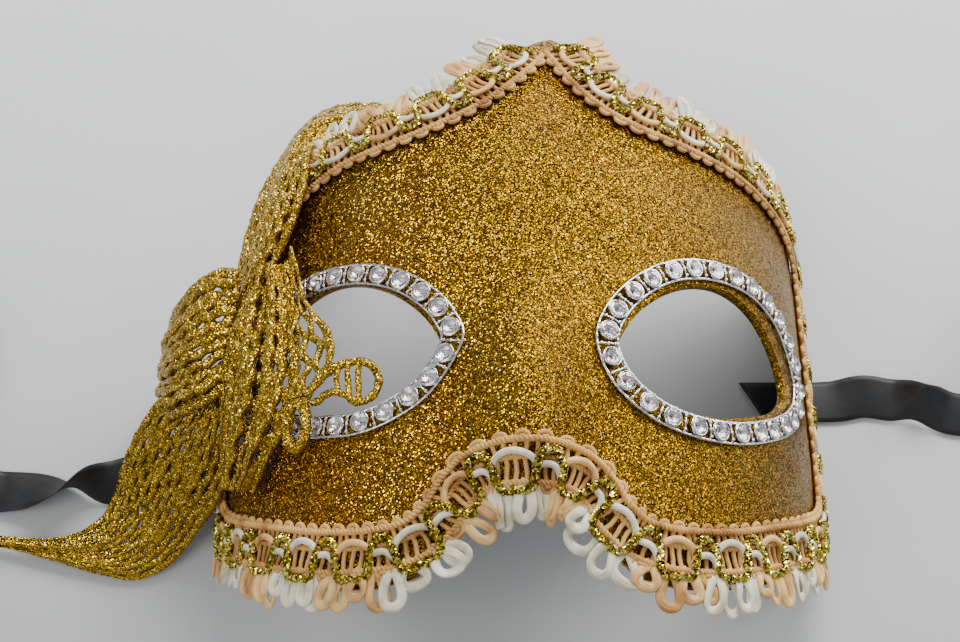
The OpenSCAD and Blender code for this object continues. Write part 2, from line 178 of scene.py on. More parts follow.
LOWER_EDGE = [[0, -51.5], [8, -51.5], [12.5, -53.5], [16, -58], [20, -65], [25, -69], [35, -70.5],
              [46, -69.5], [60, -66], [75, -61], [90, -55.5], [104, -49.5], [SIDE_EDGE, -43]]
UPPER_EDGE = [[-SIDE_EDGE, -2], [-112, 5], [-106, 14], [-97, 24], [-87, 34], [-76, 42], [-64, 48.5],
              [-50, 53], [-35, 55], [-24, 58], [-14, 64], [-6.5, 71.5], [0, 79.5], [5.5, 84],
              [8.5, 85], [12.5, 82], [16.5, 76], [20.5, 69.5], [25, 63.5], [33, 59], [45, 56.5],
              [60, 54.5], [77, 51.5], [93, 47.5], [108, 42], [SIDE_EDGE, 34]]
RIGHT_HOLE = [[21, -16.5], [24, -8.5], [30, -1.5], [38, 4], [47, 7], [56, 7], [65, 4], [72.5, -2],
              [77, -9], [77, -15], [70, -21], [58, -26], [46, -29], [35, -28.5], [26, -24.5]]
RIGHT_RING = [[18.5, -15], [20.5, -7], [26.5, 1], [35, 7.3], [45, 10.8], [56, 12], [66, 11],
              [75.5, 7], [82, 0.5], [85.8, -7], [84, -15], [76, -22], [64, -27.8], [52, -31.5],
              [40, -32.3], [30, -29.8], [22, -23.5]]
LEFT_HOLE = [[2 - s, y] for s, y in RIGHT_HOLE]
LEFT_RING = [[-16.6, -14.5], [-18.5, -7.5], [-22.5, -2], [-29, 3.4], [-37, 7.2], [-46, 9.2],
             [-55, 9.6], [-64, 8.5], [-73.5, 4.5], [-80, -1.5], [-83.8, -8], [-82, -15.5],
             [-74, -22], [-62, -27.5], [-50, -30.3], [-40, -31.6], [-31, -29.6], [-23, -24.6]]
HEADING_LINE = [[9.5, 79.5], [15.5, 67], [22, 58.8], [31, 53.5], [44, 50.8], [60, 48.8],
                [77, 45.8], [93, 42], [103, 36], [108, 25], [108.5, 8], [108.5, -10], [107.5, -26],
                [102, -39], [92, -46], [78, -51.5], [62, -56.5], [48, -60], [35, -61.3],
                [25.5, -60], [19.5, -55.5], [16, -50.5], [12, -46.8], [6, -45.2], [0, -45],
                [-6, -45.2], [-12, -46.8], [-16, -50.5], [-19.5, -55.5], [-25.5, -60],
                [-35, -61.3], [-48, -60], [-62, -56.5], [-78, -51.5], [-92, -46], [-102, -39],
                [-107.5, -27], [-108.3, -14], [-106, -2], [-99, 9], [-90, 19], [-80, 29],
                [-70, 37], [-60, 42.5], [-48, 46.5], [-35, 48.8], [-24, 51.8], [-13, 57.5],
                [-5, 65.5], [0.5, 73], [3, 77.5]]


# ---------------------------------------------------------------- meshes
def build(name, parts, material, body="mask", replaces=(), flat=False):
    """One object from parts, each (points, [face arrays], lay), where lay is an optional
    vector a point: distance along the yarn and the two sides of its round."""
    points = np.concatenate([part[0] for part in parts]) * MM
    corners, starts, start, first = [], [], 0, 0
    for part in parts:
        for faces in part[1]:
            faces = np.asarray(faces)
            corners.append((faces + first).ravel())
            starts.append(start + np.arange(len(faces)) * faces.shape[1])
            start += faces.size
        first += len(part[0])
    corners, starts = np.concatenate(corners), np.concatenate(starts)
    mesh = bpy.data.meshes.new(name)
    mesh.vertices.add(len(points))
    mesh.vertices.foreach_set("co", points.astype(np.float32).ravel())
    mesh.loops.add(len(corners))
    mesh.loops.foreach_set("vertex_index", corners.astype(np.int32))
    mesh.polygons.add(len(starts))
    mesh.polygons.foreach_set("loop_start", starts.astype(np.int32))
    mesh.polygons.foreach_set("use_smooth", np.full(len(starts), not flat))
    if parts[0][2] is not None:
        lay = np.concatenate([part[2] for part in parts]).astype(np.float32)
        mesh.attributes.new("lay", "FLOAT_VECTOR", "POINT").data.foreach_set("vector", lay.ravel())
    mesh.update(calc_edges=True)
    mesh.validate()
    mesh.materials.append(material)
    piece = bpy.data.objects.new(name, mesh)
    bpy.context.scene.collection.objects.link(piece)
    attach(piece, body)
    if replaces:
        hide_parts(*replaces)
    return piece


def tube(path, wide, high=None, sides=8, up=(0, 0, 1), roll=0.0, closed=False):
    """A round or flattened tube along a path. Its flat side faces up, rolled by roll radians."""
    path = np.asarray(path, float)
    high = wide if high is None else high
    way = ahead(path, closed)
    side = unit(np.cross(np.broadcast_to(up, path.shape), way))
    top = np.cross(way, side)
    roll = np.broadcast_to(roll, len(path))[:, None]
    side, top = (side * np.cos(roll) + top * np.sin(roll), top * np.cos(roll) - side * np.sin(roll))
    turn = np.arange(sides) * TURN / sides
    wide = np.broadcast_to(wide, len(path))[:, None, None]
    high = np.broadcast_to(high, len(path))[:, None, None]
    rings = (path[:, None] + side[:, None] * np.cos(turn)[None, :, None] * wide
             + top[:, None] * np.sin(turn)[None, :, None] * high)
    m = len(path)
    i = np.arange(m if closed else m - 1)[:, None]
    k = np.arange(sides)[None]
    j, q = (i + 1) % m, (k + 1) % sides
    quads = np.stack([i * sides + k, j * sides + k, j * sides + q, i * sides + q], -1)
    faces = [quads.reshape(-1, 4)]
    if not closed:
        ends = np.array([np.arange(sides), (m - 1) * sides + np.arange(sides)[::-1]])
        faces.append(ends)
    far = reach(path)
    lay = np.stack([np.repeat(far, sides), np.tile(np.cos(turn), m), np.tile(np.sin(turn), m)], 1)
    return rings.reshape(-1, 3), faces, lay


def plies(path, count, spread, thick, pitch, up, sides=6, jitter=0.0):
    """Several thin yarns twisted round each other along a path. up gives the outward way at points."""
    path = even(path, pitch / 7)
    up = up(path)
    way = ahead(path)
    side = unit(np.cross(up, way))
    top = np.cross(way, side)
    out = []
    far = reach(path)
    for k in range(count):
        angle = (TURN * far / pitch + TURN * k / count)[:, None]
        strand = path + spread * (np.cos(angle) * side + np.sin(angle) * top)
        strand = strand + jitter * dice.normal(size=strand.shape)
        out.append(tube(strand, thick, sides=sides, up=up))
    return out


def inside(points, ring):
    """True for the points inside a closed outline."""
    x, y = points[:, 0][:, None], points[:, 1][:, None]
    a, b = ring, np.roll(ring, -1, 0)
    rise = np.where(b[:, 1] == a[:, 1], 1e-9, b[:, 1] - a[:, 1])
    hit = ((a[:, 1] > y) != (b[:, 1] > y)) & (x < (b[:, 0] - a[:, 0]) * (y - a[:, 1]) / rise + a[:, 0])
    return hit.sum(1) % 2 == 1


def region(outline, holes, step):
    """Triangles that fill a flat outline with holes."""
    low, high = outline.min(0), outline.max(0)
    xs, ys = np.arange(low[0], high[0], step), np.arange(low[1], high[1], step)
    grid = np.stack(np.meshgrid(xs, ys), -1)
    grid[1::2, :, 0] += step / 2
    grid = grid.reshape(-1, 2)
    keep = inside(grid, outline)
    for hole in holes:
        near = (np.abs(grid - hole.mean(0)) < np.ptp(hole, axis=0) / 2 + step / 4).all(1)
        keep[near] &= ~inside(grid[near], hole)
    rings = [outline, *holes]
    points, edges, first = [], [], 0
    for ring in rings:
        n = len(ring)
        edges += [(first + i, first + (i + 1) % n) for i in range(n)]
        points.append(ring)
        first += n
    points = np.concatenate([*points, grid[keep]])
    made = delaunay_2d_cdt([Vector(p) for p in points.tolist()], edges, [], 0, 1e-4)
    flat = np.array([list(v) for v in made[0]])
    triangles = np.array(made[2])
    middle = flat[triangles].mean(1)
    keep = inside(middle, outline)
    for hole in holes:
        near = (np.abs(middle - hole.mean(0)) < np.ptp(hole, axis=0) / 2).all(1)
        keep[near] &= ~inside(middle[near], hole)
    return flat, triangles[keep]


def solid_sheet(top, bottom, triangles):
    """A closed solid between two sheets of the same points."""
    n = len(top)
    sides = np.concatenate([triangles[:, [0, 1]], triangles[:, [1, 2]], triangles[:, [2, 0]]])
    key = np.sort(sides, 1)
    _, index, count = np.unique(key, axis=0, return_index=True, return_counts=True)
    rim = sides[index[count == 1]]
    walls = np.stack([rim[:, 1], rim[:, 0], rim[:, 0] + n, rim[:, 1] + n], 1)
    return np.concatenate([top, bottom]), [triangles, triangles[:, ::-1] + n, walls], None


def edging(line, section):
    """A strip whose section, (outward, proud) points, runs round a closed line on the face."""
    way = ahead(line, True)
    section = np.asarray(section, float)
    s = line[:, None, 0] + section[None, :, 0] * way[:, None, 1]
    y = line[:, None, 1] - section[None, :, 0] * way[:, None, 0]
    rings = above(face(s, y, np.broadcast_to(section[None, :, 1], s.shape)), 0.2)
    m, sides = s.shape
    i, k = np.arange(m)[:, None], np.arange(sides)[None]
    j, q = (i + 1) % m, (k + 1) % sides
    quads = np.stack([i * sides + k, i * sides + q, j * sides + q, j * sides + k], -1).reshape(-1, 4)
    return rings.reshape(-1, 3), [quads], None


# ---------------------------------------------------------------- materials
def shader(name):
    material = bpy.data.materials.new(name)
    material.use_nodes = True
    return material, material.node_tree, material.node_tree.nodes["Principled BSDF"]


def add(tree, kind, inputs=(), **settings):
    """One shader node. inputs maps a socket's name or number to a value or another socket."""
    node = tree.nodes.new(kind)
    for key, value in settings.items():
        setattr(node, key, value)
    for key, value in dict(inputs).items():
        if isinstance(value, bpy.types.NodeSocket):
            tree.links.new(value, node.inputs[key])
        else:
            node.inputs[key].default_value = value
    return node


def ramp(tree, factor, stops):
    node = add(tree, "ShaderNodeValToRGB", {"Fac": factor})
    elements = node.color_ramp.elements
    while len(elements) < len(stops):
        elements.new(0.5)
    for element, (place, color) in zip(elements, stops):
        element.position = place
        element.color = (*color, 1)
    return node.outputs["Color"]


def join(tree, socket, value):
    tree.links.new(value, socket)


def place_of(tree, stretch=None, yarn=False):
    """Where a point is: in the piece's own frame, or along and round its yarn."""
    if yarn:
        where = add(tree, "ShaderNodeAttribute", attribute_name="lay").outputs["Vector"]
    else:
        where = add(tree, "ShaderNodeTexCoord").outputs["Object"]
    if stretch:
        where = add(tree, "ShaderNodeVectorMath", {0: where, 1: stretch},
                    operation="MULTIPLY").outputs[0]
    return where


def glitter(name, stops, flake, tilt, rough, shade=None):
    """Metal flakes: every cell has its own colour and its own tilt. flake is its size in mm. A second
    ramp, when given, multiplies the colour by random patches of tone and by painted shade that makes the
    left side darker and more orange.
    """
    material, tree, bsdf = shader(name)
    where = place_of(tree)
    cells = add(tree, "ShaderNodeTexVoronoi", {"Vector": where, "Scale": 1 / (flake * MM)})
    chance = cells.outputs["Color"]
    parts = add(tree, "ShaderNodeSeparateColor", {0: chance})
    color = ramp(tree, parts.outputs[0], stops)
    if shade:
        # Painted shade: towards the left (low x) the gold is multiplied darker and more orange, standing
        # in for the light that falls from the right; the noise patches are the coat's random tone.
        across = add(tree, "ShaderNodeSeparateXYZ", {0: where}).outputs[0]
        patch = add(tree, "ShaderNodeTexNoise", {"Vector": where, "Scale": 45.0, "Detail": 2.0})
        side = add(tree, "ShaderNodeMath", {0: across, 1: 4.5, 2: 0.25}, operation="MULTIPLY_ADD")
        mixed = add(tree, "ShaderNodeMath", {0: side.outputs[0], 1: patch.outputs["Fac"]},
                    operation="ADD", use_clamp=True)
        tint = ramp(tree, mixed.outputs[0], shade)
        color = add(tree, "ShaderNodeMix", {0: 1.0, 6: color, 7: tint}, data_type="RGBA",
                    blend_type="MULTIPLY").outputs[2]
    join(tree, bsdf.inputs["Base Color"], color)
    lean = add(tree, "ShaderNodeVectorMath", {0: chance, 1: (0.5, 0.5, 0.5)}, operation="SUBTRACT")
    lean = add(tree, "ShaderNodeVectorMath", {0: lean.outputs[0], "Scale": tilt}, operation="SCALE")
    normal = add(tree, "ShaderNodeNewGeometry").outputs["Normal"]
    normal = add(tree, "ShaderNodeVectorMath", {0: normal, 1: lean.outputs[0]}, operation="ADD")
    normal = add(tree, "ShaderNodeVectorMath", {0: normal.outputs[0]}, operation="NORMALIZE")
    join(tree, bsdf.inputs["Normal"], normal.outputs[0])
    bsdf.inputs["Metallic"].default_value = 1.0
    bsdf.inputs["Roughness"].default_value = rough
    return material


def satin(name, dark, light, rough, stripes, depth):
    """Shiny thread: fine stripes that run along the yarn, painted from a dark end that stands in for the
    yarn in shade to a light end that stands in for its sheen.
    """
    material, tree, bsdf = shader(name)
    where = place_of(tree, (0.35, stripes, stripes), yarn=True)
    noise = add(tree, "ShaderNodeTexNoise", {"Vector": where, "Scale": 1.0, "Detail": 3.0})
    broad = add(tree, "ShaderNodeTexNoise", {"Vector": place_of(tree), "Scale": 130.0, "Detail": 2.0})
    both = add(tree, "ShaderNodeMath", {0: noise.outputs["Fac"], 1: 0.5, 2: broad.outputs["Fac"]},
               operation="MULTIPLY_ADD")
    # Painted shade and painted sheen: the dark and light stops are the yarn's colour in shade and in its
    # sheen, laid out in stripes and patches.
    color = ramp(tree, both.outputs[0], [(0.55, dark), (0.85, light)])
    join(tree, bsdf.inputs["Base Color"], color)
    bump = add(tree, "ShaderNodeBump", {"Height": noise.outputs["Fac"], "Strength": depth,
                                        "Distance": 0.3 * MM})
    join(tree, bsdf.inputs["Normal"], bump.outputs[0])
    bsdf.inputs["Roughness"].default_value = rough
    return material


def speckled(name, dark, light, scale, rough, metallic=0.0, depth=0.1):
    """A plain material with a slight grain. scale is cells a metre."""
    material, tree, bsdf = shader(name)
    noise = add(tree, "ShaderNodeTexNoise", {"Vector": place_of(tree), "Scale": scale, "Detail": 4.0})
    join(tree, bsdf.inputs["Base Color"], ramp(tree, noise.outputs["Fac"], [(0.3, dark), (0.7, light)]))
    bump = add(tree, "ShaderNodeBump", {"Height": noise.outputs["Fac"], "Strength": depth,
                                        "Distance": 0.2 * MM})
    join(tree, bsdf.inputs["Normal"], bump.outputs[0])
    bsdf.inputs["Roughness"].default_value = rough
    bsdf.inputs["Metallic"].default_value = metallic
    return material


def clear_stone(name):
    """Clear acrylic, tinted by noise between a cool white and a pinkish white: a painted pinkish
    reflection that drifts from stone to stone.
    """
    material, tree, bsdf = shader(name)
    noise = add(tree, "ShaderNodeTexNoise", {"Vector": place_of(tree), "Scale": 140.0, "Detail": 1.0})
    tint = ramp(tree, noise.outputs["Fac"], [(0.35, (0.93, 0.95, 0.96)), (0.65, (0.98, 0.92, 0.91))])
    join(tree, bsdf.inputs["Base Color"], tint)
    bsdf.inputs["Transmission Weight"].default_value = 1.0
    bsdf.inputs["Roughness"].default_value = 0.02
    bsdf.inputs["IOR"].default_value = 1.5
    return material


# Chance and colour of the flakes, and what the random patches and the painted shade on the left side
# multiply gold by
GOLD_STOPS = [(0.0, (0.035, 0.014, 0.001)), (0.25, (0.11, 0.047, 0.002)),
              (0.55, (0.22, 0.104, 0.003)), (0.82, (0.36, 0.190, 0.005)), (0.95, (0.72, 0.47, 0.04))]
LACE_STOPS = [(0.0, (0.08, 0.038, 0.002)), (0.25, (0.26, 0.135, 0.005)),
              (0.55, (0.45, 0.255, 0.010)), (0.82, (0.65, 0.40, 0.020)), (0.95, (1.0, 0.80, 0.18))]
GOLD_PATCHES_AND_SIDE_SHADE = [(0.25, (1.0, 0.72, 0.60)), (0.75, (0.97, 0.95, 0.80)), (1.0, (1.0, 1.0, 0.85))]
CORD_STOPS = [(0.0, (0.06, 0.042, 0.003)), (0.35, (0.30, 0.215, 0.012)),
              (0.72, (0.68, 0.52, 0.05)), (0.93, (1.0, 0.90, 0.40))]


def make_materials():
    return {
        "shell": speckled("shell", (0.05, 0.045, 0.035), (0.13, 0.115, 0.09), 400, 0.8),
        "gold": glitter("gold_glitter", GOLD_STOPS, 0.25, 1.25, 0.27, GOLD_PATCHES_AND_SIDE_SHADE),
        "lace": glitter("lace_glitter", LACE_STOPS, 0.26, 1.3, 0.27),
        "silver": speckled("silver", (0.62, 0.62, 0.64), (0.86, 0.86, 0.88), 900, 0.17, 1.0),
        "stone": clear_stone("clear_stone"),
        # Painted reflection: the foil's pinkish tint stands in for the pinkish-brown reflection in the
        # stones; its speckle is the foil's grain.
        "foil": speckled("stone_foil", (0.70, 0.64, 0.62), (0.95, 0.93, 0.92), 500, 0.10, 1.0, 0.02),
        "heading": satin("heading_yarn", (0.36, 0.145, 0.028), (0.78, 0.45, 0.13), 0.65, 3.0, 0.5),
        "metal": glitter("metallic_cord", CORD_STOPS, 0.55, 1.1, 0.16),
        "peach": satin("peach_satin", (0.44, 0.18, 0.035), (0.92, 0.57, 0.21), 0.30, 5.0, 0.6),
        "ivory": satin("ivory_satin", (0.48, 0.41, 0.24), (0.94, 0.88, 0.68), 0.26, 5.0, 0.6),
        "glue": speckled("set_glue", (0.60, 0.55, 0.42), (0.78, 0.74, 0.62), 300, 0.35),
        "ribbon": satin("black_satin", (0.004, 0.004, 0.004), (0.012, 0.012, 0.013), 0.58, 2.0, 0.06),
    }


def dress(node, material):
    """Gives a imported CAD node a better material."""
    piece = frame["nodes"][node]
    piece.data.materials.clear()
    piece.data.materials.append(material)


# ---------------------------------------------------------------- shell and glitter coat
def mask_outline(inset=0.0):
    """The shell's outline on the flat, anticlockwise from the lower left corner."""
    low, high = np.array(LOWER_EDGE), np.array(UPPER_EDGE)
    edge = SIDE_EDGE - inset
    s = np.linspace(-edge, edge, 260)
    bottom = np.stack([s, np.interp(np.abs(s), low[:, 0], low[:, 1]) + inset], 1)
    top = np.stack([s, np.interp(s, high[:, 0], high[:, 1]) - inset], 1)[::-1]
    return even(np.concatenate([bottom, top]), 1.1, closed=True)


def grown(line, amount):
    """A closed outline moved sideways: outward where it runs anticlockwise."""
    way = ahead(line, True)
    return line + amount * np.stack([way[:, 1], -way[:, 0]], 1)


def eye_outline(points):
    """An eye hole's outline, anticlockwise."""
    ring = even(smooth(points, 240, True), 1.0, True)
    area = np.sum(ring[:, 0] * np.roll(ring[:, 1], -1) - np.roll(ring[:, 0], -1) * ring[:, 1])
    return ring if area > 0 else ring[::-1]


def make_shell(mats):
    holes = [eye_outline(RIGHT_HOLE), eye_outline(LEFT_HOLE)]
    outline = mask_outline()
    flat, triangles = region(outline, [grown(hole, 0.3) for hole in holes], 1.6)
    top = above(face(flat[:, 0], flat[:, 1], 0.0), 0.0)
    bottom = above(face(flat[:, 0], flat[:, 1], -SHELL_T), 0.0)
    build("shell_form", [solid_sheet(top, bottom, triangles)], mats["shell"],
          replaces=["mask_shell"])

    outline = mask_outline(0.2)
    flat, triangles = region(outline, holes, 1.3)
    grain = 0.06 * dice.normal(size=len(flat))
    top = above(face(flat[:, 0], flat[:, 1], COVER_TOP + grain), 0.3)
    bottom = above(face(flat[:, 0], flat[:, 1], 0.05), 0.1)
    parts = [solid_sheet(top, bottom, triangles)]
    wall = [(-0.02, -1.5), (-0.3, -1.5), (-0.3, 0.3), (0.05, 0.45)]
    parts += [edging(hole, wall) for hole in holes]
    parts.append(edging(outline, [(-0.1, 0.45), (0.35, 0.3), (0.35, -1.3), (0.1, -1.3)]))
    build("glitter_face", parts, mats["gold"], replaces=["glitter_cover"])


# ---------------------------------------------------------------- stone banding
STONE_COUNT = 26
STONE_R = 2.08


def facets(radius):
    """A faceted stone: table, star, crown, girdle and pavilion, round its own axis."""
    turn = np.arange(8) * TURN / 8
    half = turn + TURN / 16
    rim = np.arange(16) * TURN / 16

    def ring(angles, r, z):
        return np.stack([r * np.cos(angles), r * np.sin(angles), np.full(len(angles), z)], 1)

    points = np.concatenate([ring(turn, 0.56 * radius, 1.05), ring(half, 0.80 * radius, 0.72),
                             ring(rim, radius, 0.25), ring(rim, radius, 0.0), [[0, 0, -0.95]]])
    table = [np.arange(8)]
    star, kite, skirt, wall, under = [], [], [], [], []
    for k in range(8):
        q = (k + 1) % 8
        star.append([k, 8 + k, q])
        kite.append([k, 8 + (k - 1) % 8, 16 + 2 * k, 8 + k])
        skirt.append([8 + k, 16 + 2 * k, 16 + 2 * k + 1])
        skirt.append([8 + k, 16 + 2 * k + 1, 16 + (2 * k + 2) % 16])
    for k in range(16):
        q = (k + 1) % 16
        wall.append([16 + k, 32 + k, 32 + q, 16 + q])
        under.append([32 + k, 48, 32 + q])
    return points, [np.array(f) for f in (table, star, kite, skirt, wall, under)], None


def lathe(profile, sides=20):
    """A turned piece from (radius, height) points, closed on itself."""
    turn = np.arange(sides) * TURN / sides
    profile = np.asarray(profile, float)
    points = np.stack([profile[None, :, 0] * np.cos(turn)[:, None],
                       profile[None, :, 0] * np.sin(turn)[:, None],
                       np.broadcast_to(profile[None, :, 1], (sides, len(profile)))], -1)
    i, k = np.arange(sides)[:, None], np.arange(len(profile))[None]
    j, q = (i + 1) % sides, (k + 1) % len(profile)
    m = len(profile)
    quads = np.stack([i * m + k, j * m + k, j * m + q, i * m + q], -1).reshape(-1, 4)
    return points.reshape(-1, 3), [quads], None


def put(part, s, y, n, way, lean=0.0):
    """A small part set on the face, its X along way."""
    z = face_normal(s, y)
    step = face(s + way[0], y + way[1], n) - face(s - way[0], y - way[1], n)
    v = unit(np.cross(z, step))
    u = np.cross(v, z)
    u, z = u * math.cos(lean) + z * math.sin(lean), z * math.cos(lean) - u * math.sin(lean)
    points = part[0][:, :1] * u + part[0][:, 1:2] * v + part[0][:, 2:] * z + face(s, y, n)
    return points, part[1], part[2]


def make_banding(side, ring, mats):
    """Stones in cups on foil, with a bar and three beads between cups and a rail on each side."""
    line = even(smooth(ring, 500, True), 0.5, True)
    way = ahead(line, True)
    stones, cups, frames = [], [], []
    cup = lathe([(0.3, 0.1), (2.2, 0.1), (2.42, 0.5), (2.5, 1.35), (2.35, 1.62), (2.12, 1.45),
                 (2.05, 1.05), (0.3, 0.35)])
    foil = lathe([(0.02, 0.38), (2.08, 1.30), (2.10, 1.36), (0.02, 0.46)], 16)
    stone = facets(STONE_R)
    bead = lathe([(0.01, -0.5), (0.36, -0.36), (0.5, 0), (0.36, 0.36), (0.01, 0.5)], 8)
    for k in range(STONE_COUNT):
        at = int(round((k + 0.5) * len(line) / STONE_COUNT)) % len(line)
        s, y = line[at]
        turn = dice.uniform(0, TURN)
        spin = (math.cos(turn), math.sin(turn))
        tip = dice.normal() * 0.05
        cups.append(put(cup, s, y, COVER_TOP + 0.05, way[at], tip))
        cups.append(put(foil, s, y, COVER_TOP + 0.1, way[at], tip))
        stones.append(put(stone, s, y, COVER_TOP + 1.46, spin, tip))
        gap = int(round(k * len(line) / STONE_COUNT)) % len(line)
        (s, y), (a, b) = line[gap], way[gap]
        bar = [face(s + b * o, y - a * o, COVER_TOP + h)
               for o, h in ((-2.5, 0.5), (-1.2, 0.95), (0, 1.1), (1.2, 0.95), (2.5, 0.5))]
        frames.append(tube(smooth(bar, 10), 0.26, sides=6, up=face_normal(s, y)))
        for o in (-1.75, 0.0, 1.75):
            frames.append(put(bead, s + b * o, y - a * o, COVER_TOP + 1.0, (a, b)))
    for edge in (-2.55, 2.55):
        rail = face(line[:, 0] + way[:, 1] * edge, line[:, 1] - way[:, 0] * edge, COVER_TOP + 0.55)
        swell = 0.34 + 0.07 * np.cos(TURN * np.arange(len(line)) / 3.2)
        frames.append(tube(rail, swell, sides=7, up=face_normal(line[:, 0], line[:, 1]), closed=True))
    frames = [(p, f, None) for p, f, _ in frames]
    build(f"{side}_banding_rails", frames, mats["silver"],
          replaces=[f"{side}_eye_banding"])
    build(f"{side}_banding_cups", cups, mats["foil"])
    build(f"{side}_eye_stones", stones, mats["stone"], replaces=[f"{side}_eye_gems"],
          flat=True)


# ---------------------------------------------------------------- braid and fringe
HEADING = even(smooth(HEADING_LINE, 400), 0.5)
HEADING_D = reach(HEADING)
HEADING_WAY = ahead(np.stack([np.convolve(np.pad(HEADING[:, k], 4, "edge"), np.ones(9) / 9, "valid")
                              for k in (0, 1)], 1))
WAVES = 42                  # waves of the metallic cord
WAVE = HEADING_D[-1] / WAVES
HEADING_FLOOR = 1.3         # the braid is held this far above the table
CORD_HIGH = 2.55            # height of the metallic cord over the face


def heading(d, out, n):
    """A point of the braid: d along it, out towards the mask's edge, n above the face."""
    d, out, n = np.broadcast_arrays(np.asarray(d, float), np.asarray(out, float), np.asarray(n, float))
    s, y = (np.interp(d, HEADING_D, HEADING[:, k]) for k in (0, 1))
    a, b = (np.interp(d, HEADING_D, HEADING_WAY[:, k]) for k in (0, 1))
    return above(face(s - out * b, y + out * a, n), HEADING_FLOOR)


def heading_up(d):
    """The way out of the face at a distance along the braid."""
    s, y = (np.interp(d, HEADING_D, HEADING[:, k]) for k in (0, 1))
    return face_normal(s, y)


def make_heading(mats):
    """The woven ladder: three chains, bars between them and a row of small round picots."""
    parts = []
    d = np.arange(0.5, HEADING_D[-1] - 0.5, 0.5)
    for out, high, spread, thick in ((-3.7, 1.75, 0.42, 0.48), (0.0, 1.55, 0.32, 0.42),
                                     (5.2, 1.6, 0.42, 0.46)):
        line = heading(d, out, high)
        far = reach(line)
        parts += plies(line, 2, spread, thick, 2.1,
                       lambda p, far=far: heading_up(np.interp(reach(p), far, d)))
    bars = np.arange(1.2, HEADING_D[-1] - 1, 2.05)
    for k, at in enumerate(bars):
        wobble = dice.normal(size=3) * 0.12
        outs = np.array([-4.0, -2.6, -1.2, 0.0, 1.4, 3.0, 4.4, 5.2])
        highs = np.array([1.5, 1.25, 1.3, 1.45, 1.3, 1.25, 1.35, 1.5])
        shift = wobble[0] + 0.25 * np.sin(outs * 0.9 + k)
        parts.append(tube(heading(at + shift, outs, highs), 0.60, 0.5, 7, heading_up(at)))
    for at in bars[::2] + 0.6:
        turn = np.linspace(-0.62 * math.pi, 0.62 * math.pi, 11)
        size = 1.0 + dice.normal() * 0.07
        loop = heading(at + 1.15 * size * np.sin(turn), -4.25 - 1.0 * size * np.cos(turn),
                       1.45 + 0.2 * np.cos(turn))
        parts.append(tube(loop, 0.56, sides=7, up=heading_up(at)))
        parts.append(tube(heading(at + np.array([-0.5, 0, 0.5]), -4.2, 1.9), 0.5, sides=6,
                          up=heading_up(at)))
    for k in range(1, WAVES):
        turn = np.linspace(-0.7 * math.pi, 0.7 * math.pi, 12)
        loop = heading(k * WAVE + 1.5 * np.sin(turn), 6.0 + 1.25 * np.cos(turn), 1.6)
        parts.append(tube(loop, 0.6, sides=7, up=heading_up(k * WAVE)))
        parts.append(tube(heading(k * WAVE + np.array([-0.7, 0, 0.7]), 6.1, 1.9), 0.55, sides=6,
                          up=heading_up(k * WAVE)))
    build("heading_yarns", parts, mats["heading"], replaces=["braid_header"])


def cord_out(d):
    """How far out the metallic cord runs: near the heading's middle on a crest, past it between."""
    swing = np.tanh(3.2 * (np.cos(TURN * d / WAVE) - 0.35))
    return 2.5 - 4.4 * swing


def make_metal_cord(mats):
    d = np.arange(1.5, HEADING_D[-1] - 1.5, 0.15)
    out = cord_out(d)
    rise = np.where(out < 4, CORD_HIGH, CORD_HIGH - 0.22 * (out - 4))
    line = even(heading(d, out, rise), 0.35)
    near = np.interp(np.linspace(0, 1, len(line)), np.linspace(0, 1, len(d)), d)
    parts = plies(line, 3, 0.60, 0.60, 2.6, lambda p: heading_up(
        np.interp(np.linspace(0, 1, len(p)), np.linspace(0, 1, len(line)), near)), 4, 0.08)
    build("metallic_cord", parts, mats["metal"], replaces=["braid_metal_cord"],
          flat=True)


def make_arcs(mats):
    """Satin yarn bridging the cord's waves: high over each wide cell, low in each narrow one."""
    wide = [(-0.32, 1.9, 1.5), (-0.27, 0.3, 2.3), (-0.15, -0.9, 2.6), (0.0, -1.4, 2.7),
            (0.15, -0.9, 2.6), (0.27, 0.3, 2.3), (0.32, 1.9, 1.5)]
    narrow = [(-0.22, 5.6, 1.5), (-0.17, 3.4, 2.3), (-0.06, 1.8, 2.6), (0.06, 1.6, 2.6),
              (0.17, 2.0, 2.3), (0.21, 3.4, 1.6)]
    parts = {"peach": [], "ivory": []}
    for k in range(WAVES):
        cell_color = "peach" if k % 2 == 0 else "ivory"
        for shape, centre, color in ((wide, k + 0.5, cell_color), (narrow, k, "ivory")):
            if centre < 0.4:
                continue
            p = smooth(np.array(shape) + [0, dice.normal() * 0.12, 0], 18)
            line = heading((centre + p[:, 0]) * WAVE, p[:, 1], p[:, 2])
            parts[color].append(tube(line, 0.84, 0.58, 9, heading_up(centre * WAVE)))
    build("peach_arcs", parts["peach"], mats["peach"], replaces=["braid_peach_yarn"])
    build("ivory_arcs", parts["ivory"], mats["ivory"], replaces=["braid_ivory_yarn"])


FRINGE_END = 97             # no fringe further round the arch than this
UNDER_BOW = -54             # nor on the brow past this, where the bow covers it
CLUSTER_W = 9.6


def fringe_loop(centre, lean, width, length, lift, twist):
    """One teardrop loop of flat satin yarn that hangs out beyond the heading."""
    t = np.linspace(0, 1, 26)
    angle = TURN * (t - 0.5)
    across = 0.5 * width * np.sin(angle) * (0.45 + 0.55 * (0.5 + 0.5 * np.cos(angle)))
    far = length * (0.5 + 0.5 * np.cos(angle)) ** 0.8
    d = centre + across + lean * far / length
    n = 1.2 + lift * np.sin(0.5 * math.pi * np.minimum(far / length * 1.6, 1)) - 0.02 * far**1.6
    line = heading(d, 4.9 + far, n)
    outward = heading_up(centre)
    up = unit(np.cross(np.gradient(line, axis=0), line - line.mean(0)))
    up = np.where((up @ outward < 0)[:, None], -up, up)
    up = unit(0.25 * up + outward)
    return tube(line, 1.22, 0.46, 9, up, roll=twist * np.sin(angle * 1.5))


